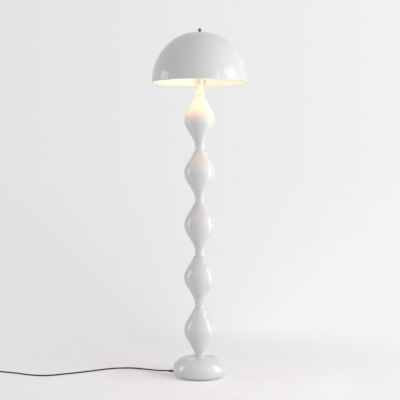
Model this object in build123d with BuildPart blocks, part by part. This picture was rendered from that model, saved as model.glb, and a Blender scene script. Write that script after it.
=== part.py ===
"""Mushroom floor lamp: a spun dome shade over a stem of five turned waves on a pebble base.

Frame: millimetres, +Z up, origin on the floor under the stem's axis, front towards -Y.
From the floor up: felt pad, bottom plate and cast weight inside the base shell, a threaded
pipe that clamps the whole stem together, the lampholder with its harp, the bulb, and the
shade that the finial holds on the harp's stud. The mains cord leaves the base on the left.
"""
import os
from math import acos, asin, atan, cos, degrees, pi, radians, sin, tan

from build123d import *

os.makedirs("parts", exist_ok=True)

# ---------------------------------------------------------------- driving dimensions, mm
# clearances
seat_gap = 0.3              # between faces of two bodies that rest on each other
running_clearance = 0.08    # radial, between a turning piece and its bore
slip_clearance = 0.15       # radial, between fixed pieces that slide together

# base
base_height = 90.0
base_radius = 123.5
base_widest_z = 34.0        # height of the widest point of the pebble
base_top_flat_radius = 62.0
base_foot_radius = 92.0
base_wall = 3.0
base_lip_width = 6.0        # turned-in rim that the bottom plate sits in
pad_thickness = 2.0
pad_inset = 2.0
weight_gap = 2.0            # from the iron to the shell's turned-in rim
weight_height = 45.0
weight_web = 8.0            # iron left above the central cavity
weight_chamfer = 3.0
weight_cavity_radius = 24.0
cord_channel_width = 12.0
plate_screw_circle = 62.0   # radius of the screw circle
plate_screw_radius = 2.5
plate_screw_length = 16.0
plate_screw_head_radius = 4.8
plate_screw_count = 3
hub_radius = 16.0
washer_radius = 12.0
washer_thickness = 1.5
nut_across_flats = 17.0
nut_height = 6.0

# stem
pipe_radius = 6.5
pipe_bore_radius = 3.6
pipe_tail = 2.0             # thread showing below the nut
pipe_head = 8.0             # thread inside the lampholder's cap
foot_collar_height = 4.0
wave_count = 5
wave_pitch = 240.5
wave_neck_radius = 21.6
wave_bulb_radius = 71.6
wave_fullness = 1.0         # extra radius halfway between neck and bulb
wave_steps = 10             # points of a wave's outline
spigot_radius = 14.0
spigot_height = 7.0
spigot_end_gap = 0.5
neck_collar_radius = 17.6
neck_collar_height = 39.5
neck_collar_flare = 18.0    # height over which the collar narrows from the last neck

# lampholder
cap_height = 25.0
cap_radius = 18.5
cap_neck_radius = 11.0
cap_neck_height = 6.0
cap_flare_height = 10.0
cap_wall = 0.9
shell_height = 50.0
shell_wall = 0.7
shell_insertion = 10.5      # how deep the shell sits in the cap
sleeve_wall = 0.9
core_height = 24.0
core_inset = 2.0            # from the shell's lower edge up to the core
screw_shell_wall = 0.5
screw_shell_height = 23.0
contact_radius = 5.0
contact_thickness = 1.5
spindle_radius = 2.4
spindle_depth = 10.0        # length of the spindle inside the core
spindle_z_in_core = 15.0
knob_stem_radius = 4.2
knob_stem_length = 9.0
knob_gap = 1.0              # from the shell to the knob
knob_paddle_width = 17.0
knob_paddle_height = 10.0
knob_paddle_length = 12.0
knob_paddle_thickness = 5.0
knob_draft = 4.0            # degrees

# bulb
bulb_length = 109.0
bulb_radius = 30.0
bulb_glass_wall = 0.9
bulb_glass_neck_radius = 12.3
bulb_glass_insertion = 8.0
bulb_cap_radius = 13.05
bulb_cap_wall = 0.5
bulb_cap_height = 21.0
bulb_insulator_height = 3.7
bulb_insulator_radius = 11.5
bulb_tip_radius = 4.6
bulb_tip_height = 2.5

# harp
harp_wire_radius = 1.75
saddle_thickness = 1.5
saddle_width = 10.0
saddle_hub_radius = 13.5
saddle_half_span = 24.0
saddle_post_height = 18.5
ferrule_radius = 3.3
ferrule_height = 14.0
harp_half_width = 48.0
harp_shoulder_height = 62.0   # above the leg ends, where the wire is at its widest
harp_hip_height = 152.0       # above the leg ends, where it turns in to the top
harp_leg_height = 20.0
harp_top_half_width = 13.0
stud_pad_radius = 9.0
stud_pad_thickness = 5.0
stud_radius = 3.1
stud_length = 13.5

# shade
shade_rim_rise = 12.0       # from the top of the neck collar up to the rim
shade_radius = 220.5
shade_height = 232.0
shade_wall = 1.2
shade_crown_flat_radius = 12.0
shade_hole_radius = 5.6
rim_bead_radius = 2.0
washer_top_radius = 10.5
washer_top_thickness = 1.0
finial_ball_radius = 7.9
finial_ball_rise = 9.3      # from the finial's foot up to the ball's centre
finial_foot_radius = 6.2
finial_foot_height = 1.8
finial_neck_radius = 4.8

# mains cord
cord_radius = 3.25
cord_floor_gap = 0.05
exit_azimuth = 168.0        # degrees, from +X towards +Y
exit_height = 20.0
gland_seat_radius = 117.5   # distance of the flat seat from the stem's axis
gland_boss_radius = 11.0
gland_boss_depth = 12.0
gland_flange_radius = 8.0
gland_flange_thickness = 2.2
gland_barrel_radius = 5.6
gland_ring_radius = 7.4
gland_ring_thickness = 3.0
relief_length = 26.0
relief_root_radius = 6.2
relief_tip_radius = 4.3
relief_groove_count = 5
relief_groove_width = 1.6
relief_groove_depth = 0.9
riser_bend_radius = 13.0
cord_exit_run = 24.0        # straight out of the relief

# cord coil, tie and plug
coil_heading = 158.0        # degrees, direction in which the cord runs into the coil
coil_entry_run = 40.0       # straight into the coil
coil_outer_radius = 46.4    # of the centreline
coil_turn_gap = 0.6
coil_layer_gap = 0.55
coil_layer_turns = 3
coil_samples = 700          # points that the coil's gap to itself is measured on
tie_thickness = 0.6
tie_width = 8.0
tie_clearance = 0.25
tie_side_clearance = 0.6
plug_relief_length = 34.0
plug_relief_root_radius = 6.0
plug_relief_tip_radius = 4.2
plug_width = 24.0
plug_length = 27.0
plug_taper_length = 9.0     # from the cord end up to the full section
plug_back_scale = 0.72      # section of the cord end over that of the blade end
plug_corner_radius = 6.0
plug_groove_count = 4       # finger grooves on each side
plug_groove_width = 1.6
plug_groove_depth = 1.0
blade_spacing = 12.7
blade_length = 17.5
blade_thickness = 1.5
blade_width = 6.35
neutral_blade_width = 7.9
blade_hole_radius = 1.6
blade_hole_from_tip = 4.5

# ---------------------------------------------------------------- heights of the stack
plate_top_z = pad_thickness + base_wall
weight_top_z = plate_top_z + weight_height
cavity_top_z = weight_top_z - weight_web
nut_z = cavity_top_z - washer_thickness - nut_height
pipe_bottom_z = nut_z - pipe_tail
stem_foot_z = base_height + foot_collar_height
stem_top_z = stem_foot_z + wave_count * wave_pitch
neck_collar_top_z = stem_top_z + neck_collar_height
cap_z = neck_collar_top_z + saddle_thickness
cap_top_z = cap_z + cap_height
pipe_top_z = cap_z + pipe_head
shell_z = cap_top_z - shell_insertion
shell_radius = cap_radius - cap_wall - slip_clearance
sleeve_radius = shell_radius - shell_wall - slip_clearance
core_z = shell_z + core_inset
core_radius = sleeve_radius - sleeve_wall - slip_clearance
core_top_z = core_z + core_height
screw_shell_bore = bulb_cap_radius + running_clearance
spindle_z = core_z + spindle_z_in_core
bulb_z = core_top_z + contact_thickness + seat_gap
bulb_insulator_z = bulb_z + bulb_tip_height
bulb_cap_z = bulb_insulator_z + bulb_insulator_height
bulb_cap_top_z = bulb_cap_z + bulb_cap_height
bulb_top_z = bulb_z + bulb_length
harp_leg_z = cap_z + saddle_post_height
shade_rim_z = neck_collar_top_z + shade_rim_rise
shade_crown_z = shade_rim_z + shade_height
stud_pad_top_z = shade_crown_z - shade_wall - seat_gap
harp_top_z = stud_pad_top_z - stud_pad_thickness - harp_wire_radius
washer_top_z = shade_crown_z + washer_top_thickness
finial_z = washer_top_z + seat_gap
pipe_hole_radius = pipe_radius + slip_clearance


def finish(part_builder, label):
    """Name a finished piece and write it to its own file."""
    part_builder.part.label = label
    export_step(part_builder.part, f"parts/{label}.step")


def disc(radius, bottom, top, bore):
    """A plain round disc or tube on the stem's axis, with a bore."""
    with BuildPart() as piece:
        with BuildSketch(Plane.XY.offset(bottom)):
            Circle(radius)
            Circle(bore, mode=Mode.SUBTRACT)
        extrude(amount=top - bottom)
    return piece


# ---------------------------------------------------------------- base
exit_direction = Vector(cos(radians(exit_azimuth)), sin(radians(exit_azimuth)), 0)
gland_seat = exit_direction * gland_seat_radius + Vector(0, 0, exit_height)
gland_face = Plane(origin=gland_seat, z_dir=exit_direction)
gland_section = Plane(origin=gland_seat, x_dir=exit_direction,
                      z_dir=exit_direction.cross(Vector(0, 0, 1)))
gland_axis = Axis(gland_seat, exit_direction)
gland_hole_radius = gland_barrel_radius + slip_clearance


with BuildPart() as base_pad:
    with BuildSketch():
        Circle(base_foot_radius - pad_inset)
    extrude(amount=pad_thickness)
finish(base_pad, "base_pad")

plate_radius = base_foot_radius - base_lip_width - seat_gap
with BuildPart() as bottom_plate:
    with BuildSketch(Plane.XY.offset(pad_thickness)):
        Circle(plate_radius)
    extrude(amount=base_wall)
    with Locations(Plane.XY.offset(pad_thickness).rotated((180, 0, 0))):
        with PolarLocations(plate_screw_circle, plate_screw_count):
            CounterSinkHole(plate_screw_radius + slip_clearance,
                            plate_screw_head_radius + slip_clearance, base_wall)
finish(bottom_plate, "bottom_plate")

# countersunk screws that hold the plate to the weight
with BuildPart() as plate_screw:
    with BuildSketch(Plane.XZ):
        with BuildLine():
            head_depth = plate_screw_head_radius - plate_screw_radius
            Polyline((0, pad_thickness), (plate_screw_head_radius, pad_thickness),
                     (plate_screw_radius, pad_thickness + head_depth),
                     (plate_screw_radius, pad_thickness + plate_screw_length),
                     (0, pad_thickness + plate_screw_length), close=True)
        make_face()
    revolve(axis=Axis.Z)
with BuildPart() as plate_screws:
    with PolarLocations(plate_screw_circle, plate_screw_count):
        add(plate_screw.part)
finish(plate_screws, "plate_screws")

# cast weight with a cavity for the nut and a channel for the cord
weight_radius = base_foot_radius - base_lip_width - weight_gap
with BuildPart() as base_weight:
    with BuildSketch(Plane.XY.offset(plate_top_z)):
        Circle(weight_radius)
    extrude(amount=weight_height)
    chamfer(base_weight.edges().filter_by(GeomType.CIRCLE).sort_by(Axis.Z)[-1], weight_chamfer)
    with BuildSketch(Plane.XY.offset(plate_top_z)):
        Circle(weight_cavity_radius)
    extrude(amount=weight_height - weight_web, mode=Mode.SUBTRACT)
    with BuildSketch(Plane.XY.offset(weight_top_z)):
        Circle(pipe_hole_radius)
    extrude(amount=-weight_web, mode=Mode.SUBTRACT)
    # the channel is an arch over the cord, open towards the bottom plate
    with BuildSketch(Plane(origin=(0, 0, exit_height), x_dir=exit_direction.cross(Vector(0, 0, 1)),
                           z_dir=exit_direction)):
        Circle(cord_channel_width / 2)
        with Locations((0, -(exit_height - plate_top_z) / 2)):
            Rectangle(cord_channel_width, exit_height - plate_top_z)
    extrude(amount=weight_radius + base_wall, mode=Mode.SUBTRACT)
    with BuildSketch(Plane.XY.offset(plate_top_z)):
        with PolarLocations(plate_screw_circle, plate_screw_count):
            Circle(plate_screw_radius + slip_clearance)
    extrude(amount=plate_screw_length - base_wall + slip_clearance, mode=Mode.SUBTRACT)
finish(base_weight, "base_weight")

# pebble-shaped cover: flat crown, elliptical shoulder and foot, one wall thick
with BuildPart() as base_shell:
    with BuildSketch(Plane.XZ):
        with BuildLine():
            top_centre = (base_top_flat_radius, base_widest_z)
            foot_centre = (base_foot_radius, base_widest_z)
            shoulder_width = base_radius - base_top_flat_radius
            shoulder_height = base_height - base_widest_z
            foot_width = base_radius - base_foot_radius
            foot_height = base_widest_z - pad_thickness
            opening_radius = base_foot_radius - base_lip_width
            Polyline((opening_radius, plate_top_z), (opening_radius, pad_thickness),
                     (base_foot_radius, pad_thickness))
            EllipticalCenterArc(foot_centre, foot_width, foot_height, 270, arc_size=90)
            EllipticalCenterArc(top_centre, shoulder_width, shoulder_height, 0, arc_size=90)
            Polyline((base_top_flat_radius, base_height), (pipe_hole_radius, base_height),
                     (pipe_hole_radius, base_height - base_wall),
                     (base_top_flat_radius, base_height - base_wall))
            EllipticalCenterArc(top_centre, shoulder_width - base_wall,
                                shoulder_height - base_wall, 0, arc_size=90)
            EllipticalCenterArc(foot_centre, foot_width - base_wall,
                                foot_height - base_wall, 270, arc_size=90)
            Line((base_foot_radius, plate_top_z), (opening_radius, plate_top_z))
        make_face()
    revolve(axis=Axis.Z)
    # boss with a flat seat for the cord's gland
    with BuildSketch(gland_face):
        Circle(gland_boss_radius)
    extrude(amount=-gland_boss_depth)
    with BuildSketch(gland_face):
        Circle(gland_flange_radius + seat_gap)
    extrude(amount=gland_boss_depth, mode=Mode.SUBTRACT)
    with BuildSketch(gland_face):
        Circle(gland_hole_radius)
    extrude(amount=-gland_boss_depth, mode=Mode.SUBTRACT)
finish(base_shell, "base_shell")

base_hub = disc(hub_radius, weight_top_z, base_height - base_wall, pipe_hole_radius)
finish(base_hub, "base_hub")
pipe_washer = disc(washer_radius, cavity_top_z - washer_thickness, cavity_top_z, pipe_hole_radius)
finish(pipe_washer, "pipe_washer")

with BuildPart() as pipe_nut:
    with BuildSketch(Plane.XY.offset(nut_z)):
        RegularPolygon(nut_across_flats / 2, 6, major_radius=False)
        Circle(pipe_hole_radius, mode=Mode.SUBTRACT)
    extrude(amount=nut_height)
finish(pipe_nut, "pipe_nut")

stem_pipe = disc(pipe_radius, pipe_bottom_z, pipe_top_z, pipe_bore_radius)
finish(stem_pipe, "stem_pipe")

# ---------------------------------------------------------------- stem
spigot_hole_radius = spigot_radius + slip_clearance
spigot_hole_depth = spigot_height + spigot_end_gap

with BuildPart() as foot_collar:
    with BuildSketch(Plane.XY.offset(base_height)):
        Circle(wave_neck_radius)
    extrude(amount=foot_collar_height)
    with BuildSketch(Plane.XY.offset(stem_foot_z)):
        Circle(spigot_radius)
    extrude(amount=spigot_height)
    with BuildSketch(Plane.XY.offset(base_height)):
        Circle(pipe_hole_radius)
    extrude(amount=foot_collar_height + spigot_height, mode=Mode.SUBTRACT)
finish(foot_collar, "foot_collar")


def wave_radius(share):
    """Radius of a turned wave at a share of its length, neck to neck."""
    mean = (wave_bulb_radius + wave_neck_radius) / 2
    swing = (wave_bulb_radius - wave_neck_radius) / 2
    turn = 2 * pi * share
    return mean - swing * cos(turn) + wave_fullness * sin(turn) ** 2


def stem_segment(bottom):
    """One turned wave with a socket below, a spigot above and a bore for the pipe."""
    with BuildPart() as segment:
        with BuildSketch(Plane.XZ):
            with BuildLine():
                Spline(*[(wave_radius(i / wave_steps), bottom + wave_pitch * i / wave_steps)
                         for i in range(wave_steps + 1)], tangents=[(0, 1), (0, 1)])
                top = bottom + wave_pitch
                Polyline((wave_neck_radius, top), (spigot_radius, top),
                         (spigot_radius, top + spigot_height),
                         (pipe_hole_radius, top + spigot_height),
                         (pipe_hole_radius, bottom + spigot_hole_depth),
                         (spigot_hole_radius, bottom + spigot_hole_depth),
                         (spigot_hole_radius, bottom), (wave_neck_radius, bottom))
            make_face()
        revolve(axis=Axis.Z)
    return segment


for index in range(wave_count):
    finish(stem_segment(stem_foot_z + index * wave_pitch), f"stem_segment_{index + 1}")

with BuildPart() as neck_collar:
    with BuildSketch(Plane.XZ):
        with BuildLine():
            Spline((wave_neck_radius, stem_top_z),
                   (neck_collar_radius, stem_top_z + neck_collar_flare),
                   tangents=[(0, 1), (0, 1)])
            Polyline((neck_collar_radius, stem_top_z + neck_collar_flare),
                     (neck_collar_radius, neck_collar_top_z),
                     (pipe_hole_radius, neck_collar_top_z),
                     (pipe_hole_radius, stem_top_z + spigot_hole_depth),
                     (spigot_hole_radius, stem_top_z + spigot_hole_depth),
                     (spigot_hole_radius, stem_top_z), (wave_neck_radius, stem_top_z))
        make_face()
    revolve(axis=Axis.Z)
finish(neck_collar, "neck_collar")

# ---------------------------------------------------------------- lampholder
with BuildPart() as socket_cap:
    with BuildSketch(Plane.XZ):
        with BuildLine():
            flare_z = cap_z + cap_neck_height
            rim_z = flare_z + cap_flare_height
            Line((cap_neck_radius, cap_z), (cap_neck_radius, flare_z))
            Spline((cap_neck_radius, flare_z), (cap_radius, rim_z), tangents=[(0.6, 1), (0, 1)])
            Polyline((cap_radius, rim_z), (cap_radius, cap_top_z),
                     (cap_radius - cap_wall, cap_top_z), (cap_radius - cap_wall, rim_z))
            Spline((cap_radius - cap_wall, rim_z), (cap_neck_radius - cap_wall, flare_z),
                   tangents=[(0, -1), (-0.6, -1)])
            Polyline((cap_neck_radius - cap_wall, flare_z), (pipe_hole_radius, flare_z),
                     (pipe_hole_radius, cap_z), (cap_neck_radius, cap_z))
        make_face()
    revolve(axis=Axis.Z)
finish(socket_cap, "socket_cap")

knob_hole_radius = spindle_radius + seat_gap
knob_plane = Plane(origin=(0, 0, spindle_z), x_dir=(1, 0, 0), z_dir=(0, 1, 0))


def holder_tube(radius, wall, bottom, top):
    """A sleeve of the lampholder, with the hole that the switch's spindle passes through."""
    with BuildPart() as tube:
        with BuildSketch(Plane.XY.offset(bottom)):
            Circle(radius)
            Circle(radius - wall, mode=Mode.SUBTRACT)
        extrude(amount=top - bottom)
        with BuildSketch(knob_plane):
            Circle(knob_hole_radius)
        extrude(amount=radius + wall, mode=Mode.SUBTRACT)
    return tube


finish(holder_tube(shell_radius, shell_wall, shell_z, shell_z + shell_height), "socket_shell")
finish(holder_tube(sleeve_radius, sleeve_wall, core_z, shell_z + shell_height - shell_wall),
       "socket_sleeve")

spindle_start = core_radius - spindle_depth
with BuildPart() as socket_core:
    with BuildSketch(Plane.XY.offset(core_z)):
        Circle(core_radius)
    extrude(amount=core_height)
    chamfer(socket_core.edges().group_by(Axis.Z)[-1], shell_wall)
    with BuildSketch(knob_plane.offset(spindle_start - seat_gap)):
        Circle(spindle_radius + running_clearance)
    extrude(amount=core_radius, mode=Mode.SUBTRACT)
finish(socket_core, "socket_core")

with BuildPart() as screw_shell:
    with BuildSketch(Plane.XY.offset(core_top_z)):
        Circle(screw_shell_bore + screw_shell_wall)
    extrude(amount=screw_shell_height)
    with BuildSketch(Plane.XY.offset(core_top_z + screw_shell_wall)):
        Circle(screw_shell_bore)
    extrude(amount=screw_shell_height, mode=Mode.SUBTRACT)
    with BuildSketch(Plane.XY.offset(core_top_z)):
        Circle(contact_radius + seat_gap + screw_shell_wall)
    extrude(amount=screw_shell_wall, mode=Mode.SUBTRACT)
finish(screw_shell, "screw_shell")

with BuildPart() as centre_contact:
    with BuildSketch(Plane.XY.offset(core_top_z)):
        Circle(contact_radius)
    extrude(amount=contact_thickness)
finish(centre_contact, "centre_contact")

# turn switch: a spindle in the core and a flat key on its end
knob_start = shell_radius + knob_gap
spindle_end = knob_start + knob_stem_length - knob_gap
with BuildPart() as switch_spindle:
    with BuildSketch(knob_plane.offset(spindle_start)):
        Circle(spindle_radius)
    extrude(amount=spindle_end - spindle_start)
finish(switch_spindle, "switch_spindle")

with BuildPart() as switch_knob:
    with BuildSketch(knob_plane.offset(knob_start)):
        Circle(knob_stem_radius)
    extrude(amount=knob_stem_length)
    with BuildSketch(knob_plane.offset(knob_start + knob_stem_length)):
        SlotOverall(knob_paddle_width, knob_paddle_thickness)
    extrude(amount=knob_paddle_length, taper=knob_draft)
    with BuildSketch(knob_plane.offset(knob_start)):
        Circle(spindle_radius)
    extrude(amount=spindle_end - knob_start, mode=Mode.SUBTRACT)
finish(switch_knob, "switch_knob")

# ---------------------------------------------------------------- bulb
with BuildPart() as bulb_contact:
    with BuildSketch(Plane.XZ):
        with BuildLine():
            Spline((0, bulb_z), (bulb_tip_radius, bulb_insulator_z), tangents=[(1, 0), (0, 1)])
            Polyline((bulb_tip_radius, bulb_insulator_z), (0, bulb_insulator_z), (0, bulb_z))
        make_face()
    revolve(axis=Axis.Z)
finish(bulb_contact, "bulb_contact")

with BuildPart() as bulb_insulator:
    with BuildSketch(Plane.XZ):
        with BuildLine():
            Polyline((0, bulb_insulator_z), (bulb_tip_radius + bulb_cap_wall, bulb_insulator_z),
                     (bulb_insulator_radius, bulb_cap_z), (0, bulb_cap_z), close=True)
        make_face()
    revolve(axis=Axis.Z)
finish(bulb_insulator, "bulb_insulator")

with BuildPart() as bulb_cap:
    with BuildSketch(Plane.XY.offset(bulb_cap_z)):
        Circle(bulb_cap_radius)
    extrude(amount=bulb_cap_height)
    with BuildSketch(Plane.XY.offset(bulb_cap_z + bulb_cap_wall)):
        Circle(bulb_cap_radius - bulb_cap_wall)
    extrude(amount=bulb_cap_height, mode=Mode.SUBTRACT)
finish(bulb_cap, "bulb_cap")

bulb_equator_z = bulb_top_z - bulb_radius
bulb_neck_z = bulb_cap_top_z - bulb_glass_insertion


def bulb_half(inset):
    """Half outline of the bulb's glass, drawn inwards by an inset."""
    neck = bulb_glass_neck_radius - inset
    belly = bulb_radius - inset
    with BuildLine() as outline:
        Line((0, bulb_neck_z), (neck, bulb_neck_z))
        Line((neck, bulb_neck_z), (neck, bulb_cap_top_z))
        Spline((neck, bulb_cap_top_z), (belly, bulb_equator_z), tangents=[(0.25, 1), (0, 1)])
        CenterArc((0, bulb_equator_z), belly, 0, 90)
        Line((0, bulb_equator_z + belly), (0, bulb_neck_z))
    return outline.line


with BuildPart() as bulb_glass:
    with BuildSketch(Plane.XZ):
        add(bulb_half(0))
        make_face()
    revolve(axis=Axis.Z)
    with BuildSketch(Plane.XZ):
        add(bulb_half(bulb_glass_wall))
        make_face()
    revolve(axis=Axis.Z, mode=Mode.SUBTRACT)
finish(bulb_glass, "bulb_glass")

# ---------------------------------------------------------------- harp
with BuildPart() as harp_saddle:
    with BuildSketch(Plane.XY.offset(neck_collar_top_z)):
        SlotOverall(2 * saddle_half_span + saddle_width, saddle_width)
        Circle(saddle_hub_radius)
        Circle(pipe_hole_radius, mode=Mode.SUBTRACT)
    extrude(amount=saddle_thickness)
    with BuildSketch(Plane.XY.offset(cap_z)):
        with Locations((-saddle_half_span, 0), (saddle_half_span, 0)):
            Circle(harp_wire_radius)
    extrude(amount=saddle_post_height)
finish(harp_saddle, "harp_saddle")

ferrule_z = harp_leg_z - ferrule_height / 2
with BuildPart() as harp_ferrules:
    with BuildSketch(Plane.XY.offset(ferrule_z)):
        with Locations((-saddle_half_span, 0), (saddle_half_span, 0)):
            Circle(ferrule_radius)
            Circle(harp_wire_radius + slip_clearance, mode=Mode.SUBTRACT)
    extrude(amount=ferrule_height)
finish(harp_ferrules, "harp_ferrules")

harp_right = [(saddle_half_span, harp_leg_z),
              (saddle_half_span, harp_leg_z + harp_leg_height),
              (harp_half_width, harp_leg_z + harp_shoulder_height),
              (harp_half_width, harp_leg_z + harp_hip_height),
              (harp_top_half_width, harp_top_z)]
harp_left = [(-x, z) for x, z in reversed(harp_right)]
harp_bends = [18, 30, 55, 13]
with BuildPart() as harp_wire:
    with BuildLine() as harp_path:
        FilletPolyline(*[(x, 0, z) for x, z in harp_right + harp_left],
                       radius=harp_bends + harp_bends[::-1])
    with BuildSketch(Plane.XY.offset(harp_leg_z)):
        with Locations((saddle_half_span, 0)):
            Circle(harp_wire_radius)
    sweep(path=harp_path.wire())
finish(harp_wire, "harp_wire")

with BuildPart() as harp_stud:
    with BuildSketch(Plane.XY.offset(stud_pad_top_z - stud_pad_thickness)):
        Circle(stud_pad_radius)
    extrude(amount=stud_pad_thickness)
    with BuildSketch(Plane.XY.offset(stud_pad_top_z)):
        Circle(stud_radius)
    extrude(amount=stud_length)
finish(harp_stud, "harp_stud")

# ---------------------------------------------------------------- shade and finial
with BuildPart() as shade_dome:
    with BuildSketch(Plane.XZ):
        with BuildLine():
            dome_z = shade_rim_z + rim_bead_radius
            dome_height = shade_crown_z - dome_z
            dome_width = shade_radius - shade_crown_flat_radius
            bead_centre = shade_radius - rim_bead_radius
            start = degrees(asin(rim_bead_radius / (dome_height - shade_wall)))
            EllipticalCenterArc((shade_crown_flat_radius, dome_z), dome_width, dome_height, 0,
                                arc_size=90)
            Polyline((shade_crown_flat_radius, shade_crown_z), (shade_hole_radius, shade_crown_z),
                     (shade_hole_radius, shade_crown_z - shade_wall),
                     (shade_crown_flat_radius, shade_crown_z - shade_wall))
            inner = EllipticalCenterArc((shade_crown_flat_radius, dome_z),
                                        dome_width - shade_wall, dome_height - shade_wall,
                                        start, arc_size=90 - start)
            # rolled rim
            Line(inner @ 0, (bead_centre, dome_z + rim_bead_radius))
            CenterArc((bead_centre, dome_z), rim_bead_radius, 90, 270)
        make_face()
    revolve(axis=Axis.Z)
finish(shade_dome, "shade_dome")

shade_washer = disc(washer_top_radius, shade_crown_z, washer_top_z, shade_hole_radius)
finish(shade_washer, "shade_washer")

with BuildPart() as finial:
    with BuildSketch(Plane.XZ):
        with BuildLine():
            foot_top = finial_z + finial_foot_height
            start = -degrees(acos(finial_neck_radius / finial_ball_radius))
            ball = CenterArc((0, finial_z + finial_ball_rise), finial_ball_radius, start,
                             90 - start)
            Polyline(ball @ 0, (finial_neck_radius, foot_top), (finial_foot_radius, foot_top),
                     (finial_foot_radius, finial_z), (0, finial_z), ball @ 1)
        make_face()
    revolve(axis=Axis.Z)
    with BuildSketch(Plane.XY.offset(finial_z)):
        Circle(stud_radius + running_clearance)
    extrude(amount=stud_pad_top_z + stud_length + seat_gap - finial_z, mode=Mode.SUBTRACT)
finish(finial, "finial")

# ---------------------------------------------------------------- cord gland and riser
with BuildPart() as strain_relief:
    with BuildSketch(gland_section):
        with BuildLine():
            relief_tip = gland_flange_thickness + relief_length
            inner_end = -gland_boss_depth - gland_ring_thickness
            Polyline((inner_end, 0), (inner_end, gland_ring_radius),
                     (-gland_boss_depth, gland_ring_radius),
                     (-gland_boss_depth, gland_barrel_radius), (0, gland_barrel_radius),
                     (0, gland_flange_radius), (gland_flange_thickness, gland_flange_radius),
                     (gland_flange_thickness, relief_root_radius),
                     (relief_tip, relief_tip_radius), (relief_tip, 0), close=True)
        make_face()
        # grooves that let the relief bend
        groove_pitch = relief_length / (relief_groove_count + 1)
        for groove in range(relief_groove_count):
            along = gland_flange_thickness + groove_pitch * (groove + 1)
            share = (along - gland_flange_thickness) / relief_length
            local = relief_root_radius + share * (relief_tip_radius - relief_root_radius)
            with Locations((along, local)):
                Rectangle(relief_groove_width, 2 * relief_groove_depth, mode=Mode.SUBTRACT)
    revolve(axis=gland_axis)
    with BuildSketch(gland_face.offset(relief_tip)):
        Circle(cord_radius + slip_clearance)
    extrude(amount=inner_end - relief_tip, mode=Mode.SUBTRACT)
finish(strain_relief, "strain_relief")

# the cord's run inside the lamp: through the gland, along the channel and up the pipe
cord_exit = gland_seat + exit_direction * relief_tip
with BuildPart() as riser_cord:
    with BuildLine() as riser_path:
        FilletPolyline(cord_exit, (0, 0, exit_height), (0, 0, core_z), radius=riser_bend_radius)
    with BuildSketch(gland_face.offset(relief_tip)):
        Circle(cord_radius)
    sweep(path=riser_path.wire())
finish(riser_cord, "riser_cord")

# ---------------------------------------------------------------- free cord
floor_z = cord_radius + cord_floor_gap
coil_z = cord_radius + tie_clearance + tie_thickness + cord_floor_gap
coil_entry = Vector(-999.1, 123.0, coil_z)
entry_direction = Vector(cos(radians(coil_heading)), sin(radians(coil_heading)), 0)
cord_route = [
    cord_exit,
    cord_exit + exit_direction * cord_exit_run,
    Vector(-194, 60, 15.4),
    Vector(-228, 100, 11),
    Vector(-264, 140, 6.6),
    Vector(-303, 172, 3.6),
    Vector(-342, 182, floor_z),
    Vector(-417, 171, floor_z),
    Vector(-489, 124, floor_z),
    Vector(-559, 76, floor_z),
    Vector(-628, 40, floor_z),
    Vector(-698, 1, floor_z),
    Vector(-773, 10.5, floor_z),
    Vector(-855, 63, floor_z),
    Vector(-920, 88, floor_z),
    coil_entry - entry_direction * coil_entry_run,
    coil_entry,
]


def corner_radii(route):
    """Arc radius of each corner: 0.45 of its shorter run over the tangent of half the turn."""
    radii = []
    for before, corner, after in zip(route, route[1:], route[2:]):
        run_in, run_out = corner - before, after - corner
        half_turn = radians(run_in.get_angle(run_out)) / 2
        radii.append(0.45 * min(run_in.length, run_out.length) / tan(half_turn))
    return radii


cord_bends = corner_radii(cord_route)
print("cord bend radii", [round(radius) for radius in cord_bends])
with BuildPart() as cord:
    with BuildLine() as cord_path:
        FilletPolyline(*cord_route, radius=cord_bends)
    with BuildSketch(gland_face.offset(relief_tip)):
        Circle(cord_radius)
    sweep(path=cord_path.wire())
cord_length = cord_path.wire().length
print("free cord length", round(cord_length, 1), "volume over section times length",
      round(cord.part.volume / (pi * cord_radius**2 * cord_length), 4))
finish(cord, "cord")

# ---------------------------------------------------------------- coil of the stored length
turn_step = 2 * cord_radius + coil_turn_gap
layer_step = 2 * cord_radius + coil_layer_gap
spiral_rate = turn_step / (2 * pi)
entry_angle = radians(coil_heading) - pi / 2 - atan(spiral_rate / coil_outer_radius)
coil_start = coil_entry + entry_direction * 2 * cord_radius
coil_centre = coil_start - Vector(cos(entry_angle), sin(entry_angle), 0) * coil_outer_radius
inward_sweep = 2 * pi * coil_layer_turns
coil_sweep = 2 * inward_sweep + pi


def coil_place(swept):
    """Point and direction of the coil's centreline after an angle of winding.

    The spiral runs in on the lower layer, climbs a layer in the half turn where it reverses,
    and runs out again at the same rate on the upper layer.
    """
    inner = coil_outer_radius - turn_step * coil_layer_turns
    rate = spiral_rate
    past = swept - inward_sweep
    if past <= 0:
        radius, radius_rate, lift, lift_rate = inner - rate * past, -rate, 0, 0
    elif past < pi:
        share = past / pi
        radius = inner - rate * past * (1 - share)
        radius_rate = -rate * (1 - 2 * share)
        lift = layer_step * (3 * share**2 - 2 * share**3)
        lift_rate = layer_step * 6 * share * (1 - share) / pi
    else:
        radius, radius_rate, lift, lift_rate = inner + rate * (past - pi), rate, layer_step, 0
    angle = entry_angle + swept
    outward = Vector(cos(angle), sin(angle), 0)
    around = Vector(-sin(angle), cos(angle), 0)
    place = coil_centre + outward * radius + Vector(0, 0, lift)
    direction = outward * radius_rate + around * radius + Vector(0, 0, lift_rate)
    return place, direction.normalized()


def biarc(start, start_direction, end, end_direction):
    """Two tangent arcs from one place and direction to the next."""
    chord = end - start
    along = chord.dot(start_direction + end_direction)
    spread = 2 * (1 - start_direction.dot(end_direction))
    reach = (-along + (along**2 + spread * chord.dot(chord)) ** 0.5) / spread
    near, far = start + start_direction * reach, end - end_direction * reach
    joint = (near + far) / 2
    TangentArc(start, joint, tangent=start_direction)
    TangentArc(joint, end, tangent=far - near)


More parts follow.
